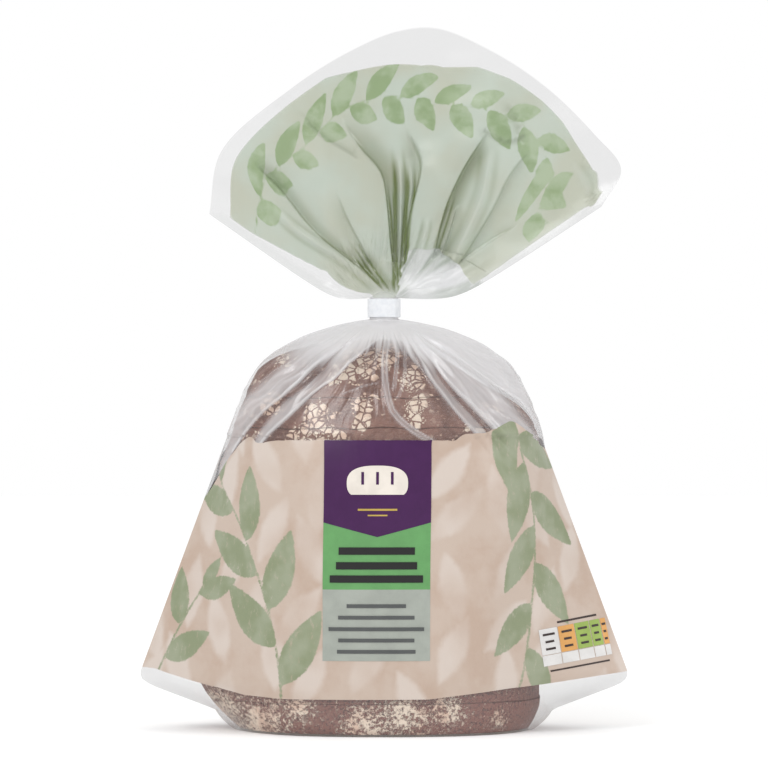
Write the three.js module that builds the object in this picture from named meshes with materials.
// Half a sliced loaf standing on its cut face in a film bread bag, which is gathered above the loaf
// and closed with tape. Millimetres, +Z up. The front faces -Y, and the origin is the middle of the base.
// The bag is one solid: its foot with two ears, the body drawn over the loaf, the pleated shoulders,
// the neck under the tape, and the fan of loose film above it.

import * as THREE from "three";

// Driving dimensions of the filled bag.
const EAR_HALF_WIDTH = 101.6; // from the middle to either bottom corner of the bag
const EAR_HEIGHT = 24; // the corners ride this high, because the loaf pulls the middle down
const EAR_EDGE_START = [77, 11]; // x, z where an ear's lower edge leaves the foot of the loaf
const EAR_EDGE_SLOPE = 0.378; // rise of that edge for each millimetre outwards
const EAR_CORNER_RADIUS = 5;
const SEAM_TAPER = 0.3694; // how much each side seam leans in for each millimetre of height
const SHOULDER_HEIGHT = 137.6; // here the side seams leave their straight run
const SHOULDER_POWER = 3; // higher keeps the shoulders full for longer
const SHOULDER_ROUND = 0.62; // lower meets the neck more flatly
const SEAM_MARGIN = 0.5; // the film's seam stays at least this far outside the loaf

// The loaf that fills it.
const LOAF_HALF_WIDTH = 70.5;
const LOAF_HALF_DEPTH = 44.5;
const LOAF_WIDEST_Y = 12; // the loaf is widest near its flat base crust, which faces the back
const DOME_ROUND = 2.3; // superellipse power of the domed top crust, at the front
const BASE_ROUND = 3.6; // the same for the flat base crust, at the back
const FOOT_ROUND_HEIGHT = 12;
const FOOT_INSET = 8.5; // how far the rounded foot draws in at the floor
const FRONT_TURN_HEIGHT = 85; // above this the top crust curves back towards the loaf's end
const BACK_TURN_HEIGHT = 120;
const FRONT_TURN_POWER = 2.4;
const BACK_TURN_POWER = 2.6;
const TURN_ROUND = 0.6;

// The neck and its tape.
const NECK_RADIUS = 6;
const NECK_LOW = 171.4;
const NECK_TOP = 179.8;
const TAPE_LOW = 171.8;
const TAPE_WIDTH = 7.6;
const TAPE_INNER_RADIUS = 6.3;
const TAPE_WALL = 0.4;
const TAPE_LAP_DEGREES = 70; // the tape's loose end lies this far over itself, at the back

// The fan of loose film, spread across the front. Each point is x, z on the bag's mouth, left to right.
const MOUTH = [
  [-73.4, 215.4],
  [-68.2, 241.6],
  [-38.5, 267.2],
  [-13, 283.2],
  [6, 291.2],
  [22, 292.3],
  [42.7, 283.6],
  [67.7, 266.8],
  [88, 247.2],
  [98.5, 233.2],
  [90.3, 217.6],
];
const FLARE = 18; // how far from the tape the film bends towards the mouth, in the middle
const FLARE_LEFT = 15; // and along the left seam
const FLARE_RIGHT = 25;
const FLARE_PULL = 2; // how closely the film keeps to that bend, in the middle
const FLARE_PULL_SEAM = 4;
const SWEEP_BACK = 16; // the left edge of the mouth leans back, and the right edge forward
const SWEEP_FORWARD = 7;

// Pleats. Each side of the bag is gathered into this many.
const BODY_PLEATS = 9;
const BODY_PLEAT_DEPTH = 1.9;
const PLEAT_START_HEIGHT = 122;
const PLEAT_FULL_HEIGHT = 155;
const PLEAT_ROOM = 32; // nearer the middle than this, the pleats crowd and lose depth
const BACK_PLEAT_SHIFT = 0.3;
const NECK_FOLDS = 8.5;
const NECK_FOLD_DEPTH = 2.2;
const MOUTH_WAVES = 2.2;
const MOUTH_WAVE_DEPTH = 4.5;
const MOUTH_WAVE_SHIFT = 0.15;
const SHEET_GAP_MOUTH = 3; // between the front and the back sheet
const SEAM_EASE = 0.07; // within this share of the width, pleats fade into the side seams

// The fan's creases, which go back between its smoother panels. Each one's places across the fan,
// at the mouth and at the neck, and its width are shares of the fan's width. Its reach is a share
// of the way to the mouth.
const FAN_CREASES = [
  { mouth: 0.09, neck: 0.16, width: 0.035, depth: 4, reach: 0.55 },
  { mouth: 0.2, neck: 0.34, width: 0.045, depth: 7.5, reach: 0.7 },
  { mouth: 0.31, neck: 0.42, width: 0.035, depth: 4, reach: 0.55 },
  { mouth: 0.42, neck: 0.58, width: 0.04, depth: 9, reach: 0.85 },
  { mouth: 0.5, neck: 0.63, width: 0.035, depth: 5, reach: 0.7 },
  { mouth: 0.69, neck: 0.72, width: 0.045, depth: 9, reach: 0.82 },
  { mouth: 0.79, neck: 0.79, width: 0.04, depth: 5, reach: 0.65 },
  { mouth: 0.92, neck: 0.87, width: 0.035, depth: 3.5, reach: 0.55 },
];
const CREASE_SETTLE = 0.55; // by this share of the way a crease has drifted to its place at the mouth
const CREASE_SPREAD = [0.9, 1.5]; // a crease's width grows by this much from the neck to the mouth

// How finely the solid is split.
const COLUMNS = 44;
const SECTION_SAMPLES = 48;
const FOOT_ROWS = [0, 1.1, 3, 5.6, 8.4, 11, 13.2, 15.4, 17.6, 19.6, 21.6, 24, 27.5];
const WALL_ROWS = 11;
const SHOULDER_ROWS = 11;
const FAN_ROWS = 16;

const clamp01 = (t) => Math.min(1, Math.max(0, t));
const lerp = (a, b, t) => a + (b - a) * t;
const smooth = (low, high, x) => {
  const t = clamp01((x - low) / (high - low));
  return t * t * (3 - 2 * t);
};
// A wave from -1 to 1 with nearly flat sides and slightly rounded crests, as folded film has.
const foldWave = (x) => (2 / Math.PI) * Math.asin(0.96 * Math.sin(2 * Math.PI * x));
// 0 on either side seam and 1 away from them, for a share u of a sheet's width.
const awayFromSeams = (u) => smooth(0, SEAM_EASE, Math.min(u, 1 - u));
// A quarter round: 0 at the floor and 1 where the foot has reached its full width.
const footRound = (z) => {
  const t = 1 - clamp01(z / FOOT_ROUND_HEIGHT);
  return Math.sqrt(1 - t * t);
};

// Half the width between the side seams at height z.
function seamHalfWidth(z) {
  const straight = EAR_HALF_WIDTH - (Math.max(z, EAR_HEIGHT) - EAR_HEIGHT) * SEAM_TAPER;
  const rise = clamp01((z - SHOULDER_HEIGHT) / (NECK_LOW - SHOULDER_HEIGHT));
  const shouldered = straight * (1 - rise ** SHOULDER_POWER) ** SHOULDER_ROUND;
  if (z >= EAR_HEIGHT) return Math.max(shouldered, NECK_RADIUS);
  const loaf = loafHalfWidth(z) + SEAM_MARGIN;
  const edge = EAR_EDGE_START[0] + (z - EAR_EDGE_START[1]) / EAR_EDGE_SLOPE;
  const turn = clamp01((EAR_HEIGHT - z) / EAR_CORNER_RADIUS);
  const corner = EAR_HALF_WIDTH - EAR_CORNER_RADIUS * (1 - Math.sqrt(1 - turn * turn));
  return Math.max(loaf, Math.min(edge, corner));
}

function loafHalfWidth(z) {
  return LOAF_HALF_WIDTH - FOOT_INSET * (1 - footRound(z));
}

// Depth of the film in front of the seams, or behind them, at height z.
function depthAt(z, turnHeight, power) {
  const foot = FOOT_INSET * (1 - footRound(z));
  const rise = clamp01((z - turnHeight) / (NECK_LOW - turnHeight));
  return Math.max((LOAF_HALF_DEPTH - foot) * (1 - rise ** power) ** TURN_ROUND, NECK_RADIUS);
}

// One side of the loaf's outline at height z, as points from left to right, with the two seam points.
// side is -1 for the domed front and 1 for the flat back.
function sideOutline(z, side) {
  const seam = seamHalfWidth(z);
  const towardsNeck = smooth(PLEAT_START_HEIGHT, NECK_LOW, z);
  const widestY = lerp(LOAF_WIDEST_Y, 0, towardsNeck);
  const front = side < 0;
  const turnHeight = front ? FRONT_TURN_HEIGHT : BACK_TURN_HEIGHT;
  const depth = depthAt(z, turnHeight, front ? FRONT_TURN_POWER : BACK_TURN_POWER);
  const halfWidth = Math.min(loafHalfWidth(z), seam - SEAM_MARGIN * (1 - towardsNeck));
  const power = lerp(front ? DOME_ROUND : BASE_ROUND, 2, towardsNeck);
  const points = [[-seam, 0]];
  for (let i = 0; i <= SECTION_SAMPLES; i++) {
    const angle = (Math.PI * i) / SECTION_SAMPLES;
    const across = Math.cos(angle);
    const x = -halfWidth * Math.sign(across) * Math.abs(across) ** (2 / power);
    const y = widestY + (side * depth - widestY) * Math.abs(Math.sin(angle)) ** (2 / power);
    points.push([x, y]);
  }
  points.push([seam, 0]);
  return points;
}

// The stretched film follows the outline's convex side. side is as in sideOutline.
function stretchOver(points, side) {
  const sorted = points.slice().sort((a, b) => a[0] - b[0] || side * (b[1] - a[1]));
  const hull = [];
  for (const p of sorted) {
    while (hull.length > 1) {
      const [a, b] = hull.slice(-2);
      const turn = (b[0] - a[0]) * (p[1] - a[1]) - (b[1] - a[1]) * (p[0] - a[0]);
      if (-side * turn > 1e-9) break;
      hull.pop();
    }
    hull.push(p);
  }
  return hull;
}

// count + 1 points spaced evenly along a line of points.
function spaceEvenly(points, count) {
  const along = [0];
  for (let i = 1; i < points.length; i++) {
    const step = Math.hypot(points[i][0] - points[i - 1][0], points[i][1] - points[i - 1][1]);
    along.push(along[i - 1] + step);
  }
  const total = along[along.length - 1];
  const spaced = [];
  let i = 1;
  for (let k = 0; k <= count; k++) {
    const target = (total * k) / count;
    while (i < points.length - 1 && along[i] < target) i++;
    const t = clamp01((target - along[i - 1]) / (along[i] - along[i - 1] || 1));
    spaced.push([lerp(points[i - 1][0], points[i][0], t), lerp(points[i - 1][1], points[i][1], t)]);
  }
  return spaced;
}

// One sheet of the body at height z, left seam to right seam, pleated towards the neck.
function bodySheet(z, side) {
  const film = spaceEvenly(stretchOver(sideOutline(z, side), side), COLUMNS);
  const growth = smooth(PLEAT_START_HEIGHT, PLEAT_FULL_HEIGHT, z);
  const room = Math.min(1, seamHalfWidth(z) / PLEAT_ROOM);
  const depth = BODY_PLEAT_DEPTH * growth * room;
  const shift = side > 0 ? BACK_PLEAT_SHIFT : 0;
  return film.map(([x, y], k) => {
    const u = k / COLUMNS;
    const wave = (1 + foldWave(BODY_PLEATS * u + shift)) / 2;
    const inward = depth * awayFromSeams(u) * wave;
    const reach = Math.hypot(x, y) || 1;
    return new THREE.Vector3(x - (x / reach) * inward, y - (y / reach) * inward, z);
  });
}

const mouthCurve = new THREE.CatmullRomCurve3(
  MOUTH.map(([x, z]) => new THREE.Vector3(x, 0, z)),
  false,
  "centripetal",
);

// How deep one crease of the fan is, a share u across it and s of the way from the neck to the mouth.
function creaseDepth(crease, u, s) {
  const across = lerp(crease.neck, crease.mouth, smooth(0, CREASE_SETTLE, s));
  const width = crease.width * lerp(...CREASE_SPREAD, s);
  const open = smooth(0.04, 0.5, s) * (1 - smooth(crease.reach - 0.3, crease.reach + 0.15, s));
  return crease.depth * open * Math.exp(-(((u - across) / width) ** 2));
}

// How far the fan's film lies behind its middle plane there.
function fanFolds(u, s) {
  const nearNeck = smooth(0, 0.2, s) * (1 - smooth(0.25, 0.6, s));
  const nearMouth = smooth(0.35, 1, s);
  const creases = FAN_CREASES.reduce((sum, crease) => sum + creaseDepth(crease, u, s), 0);
  const gathers = NECK_FOLD_DEPTH * nearNeck * foldWave(NECK_FOLDS * u);
  const waves = MOUTH_WAVE_DEPTH * nearMouth * Math.sin(2 * Math.PI * (MOUTH_WAVES * u + MOUTH_WAVE_SHIFT));
  const sweep = s * s * (SWEEP_BACK * clamp01(1 - 2 * u) ** 2 - SWEEP_FORWARD * clamp01(2 * u - 1) ** 2);
  return (creases + gathers + waves) * awayFromSeams(u) + sweep;
}

// One sheet of the fan, a share s of the way from the neck to the mouth.
function fanSheet(s, side) {
  const sheet = [];
  for (let k = 0; k <= COLUMNS; k++) {
    const u = k / COLUMNS;
    const turn = Math.PI * (u - 0.5);
    const neckX = NECK_RADIUS * Math.sin(turn);
    const mouth = mouthCurve.getPointAt(u);
    const lean = turn * lerp(0.9, 1, Math.abs(2 * u - 1));
    const atSeam = Math.abs(2 * u - 1) ** 3;
    const flare = lerp(FLARE, u < 0.5 ? FLARE_LEFT : FLARE_RIGHT, atSeam);
    const bendX = neckX + flare * Math.sin(lean);
    const bendZ = NECK_TOP + flare * Math.cos(lean);
    const pull = lerp(FLARE_PULL, FLARE_PULL_SEAM, atSeam);
    const [a, b, c] = [(1 - s) ** 2, 2 * s * (1 - s) * pull, s * s];
    const x = (a * neckX + b * bendX + c * mouth.x) / (a + b + c);
    const z = (a * NECK_TOP + b * bendZ + c * mouth.z) / (a + b + c);
    const opened = Math.sqrt(1 - Math.abs(2 * u - 1) ** 4);
    const halfGap = lerp(NECK_RADIUS * Math.cos(turn), (opened * SHEET_GAP_MOUTH) / 2, smooth(0, 0.5, s));
    sheet.push(new THREE.Vector3(x, side * halfGap + fanFolds(u, s), z));
  }
  return sheet;
}

// Heights of the body's rings. They crowd towards the neck, where the shoulders lie nearly flat.
function bodyHeights() {
  const heights = FOOT_ROWS.slice();
  const foot = heights[heights.length - 1];
  for (let i = 1; i <= WALL_ROWS; i++) heights.push(lerp(foot, SHOULDER_HEIGHT, i / WALL_ROWS));
  for (let i = 1; i <= SHOULDER_ROWS; i++) {
    const t = Math.sin((Math.PI / 2) * (i / SHOULDER_ROWS));
    heights.push(lerp(SHOULDER_HEIGHT, NECK_LOW, t));
  }
  return heights;
}

// The bag as rings from the floor to the mouth. Each ring is a front sheet and a back sheet,
// which meet at the seams.
function bagRings() {
  const rings = bodyHeights().map((z) => [bodySheet(z, -1), bodySheet(z, 1)]);
  for (let i = 0; i <= FAN_ROWS; i++) {
    const s = (i / FAN_ROWS) ** 1.35;
    rings.push([fanSheet(s, -1), fanSheet(s, 1)]);
  }
  return rings;
}

// A closed surface through the rings, with a flat foot and a thin rim at the mouth.
function bagGeometry() {
  const rings = bagRings();
  const around = 2 * COLUMNS;
  const positions = [];
  for (const [front, back] of rings) {
    for (let k = 0; k < COLUMNS; k++) positions.push(...front[k].toArray());
    for (let k = COLUMNS; k > 0; k--) positions.push(...back[k].toArray());
  }
  const at = (ring, k) => ring * around + ((k + around) % around);
  const faces = [];
  const quad = (a, b, c, d) => faces.push(a, b, c, a, c, d);
  for (let r = 0; r < rings.length - 1; r++) {
    for (let k = 0; k < around; k++) quad(at(r, k), at(r, k + 1), at(r + 1, k + 1), at(r + 1, k));
  }
  const last = rings.length - 1;
  for (let k = 0; k < COLUMNS; k++) {
    const ends = [
      [at(0, k), at(0, -k), at(0, -k - 1), at(0, k + 1)],
      [at(last, k + 1), at(last, -k - 1), at(last, -k), at(last, k)],
    ];
    for (const [a, b, c, d] of ends) {
      if (k === 0 || k === COLUMNS - 1) {
        const corners = [...new Set([a, b, c, d])];
        faces.push(...corners);
      } else quad(a, b, c, d);
    }
  }
  return new THREE.BufferGeometry()
    .setAttribute("position", new THREE.Float32BufferAttribute(positions, 3))
    .setIndex(faces);
}

// The tape: a band round the neck, whose loose end lies over its start at the back.
function tapeGeometry() {
  const outer = TAPE_INNER_RADIUS + TAPE_WALL;
  const back = Math.PI / 2;
  const lap = (TAPE_LAP_DEGREES * Math.PI) / 180;
  const band = new THREE.Shape();
  band.absarc(0, 0, outer + TAPE_WALL, back - lap / 2, back + lap / 2, false);
  band.absarc(0, 0, outer, back + lap / 2, back - lap / 2 + 2 * Math.PI, false);
  band.closePath();
  const opening = new THREE.Path();
  opening.absarc(0, 0, TAPE_INNER_RADIUS, 0, 2 * Math.PI, true);
  band.holes.push(opening);
  return new THREE.ExtrudeGeometry(band, { depth: TAPE_WIDTH, bevelEnabled: false, curveSegments: 40 });
}

const filmMaterial = new THREE.MeshStandardMaterial({ color: 0xd2bba8, roughness: 0.35, metalness: 0 });
const tapeMaterial = new THREE.MeshStandardMaterial({ color: 0xeef0f2, roughness: 0.45, metalness: 0 });

const bag = new THREE.Mesh(bagGeometry(), filmMaterial);
bag.name = "bag";

const tape = new THREE.Mesh(tapeGeometry(), tapeMaterial);
tape.name = "neck_tape";
tape.position.z = TAPE_LOW;

const breadInBag = new THREE.Group();
breadInBag.add(bag, tape);

export default breadInBag;
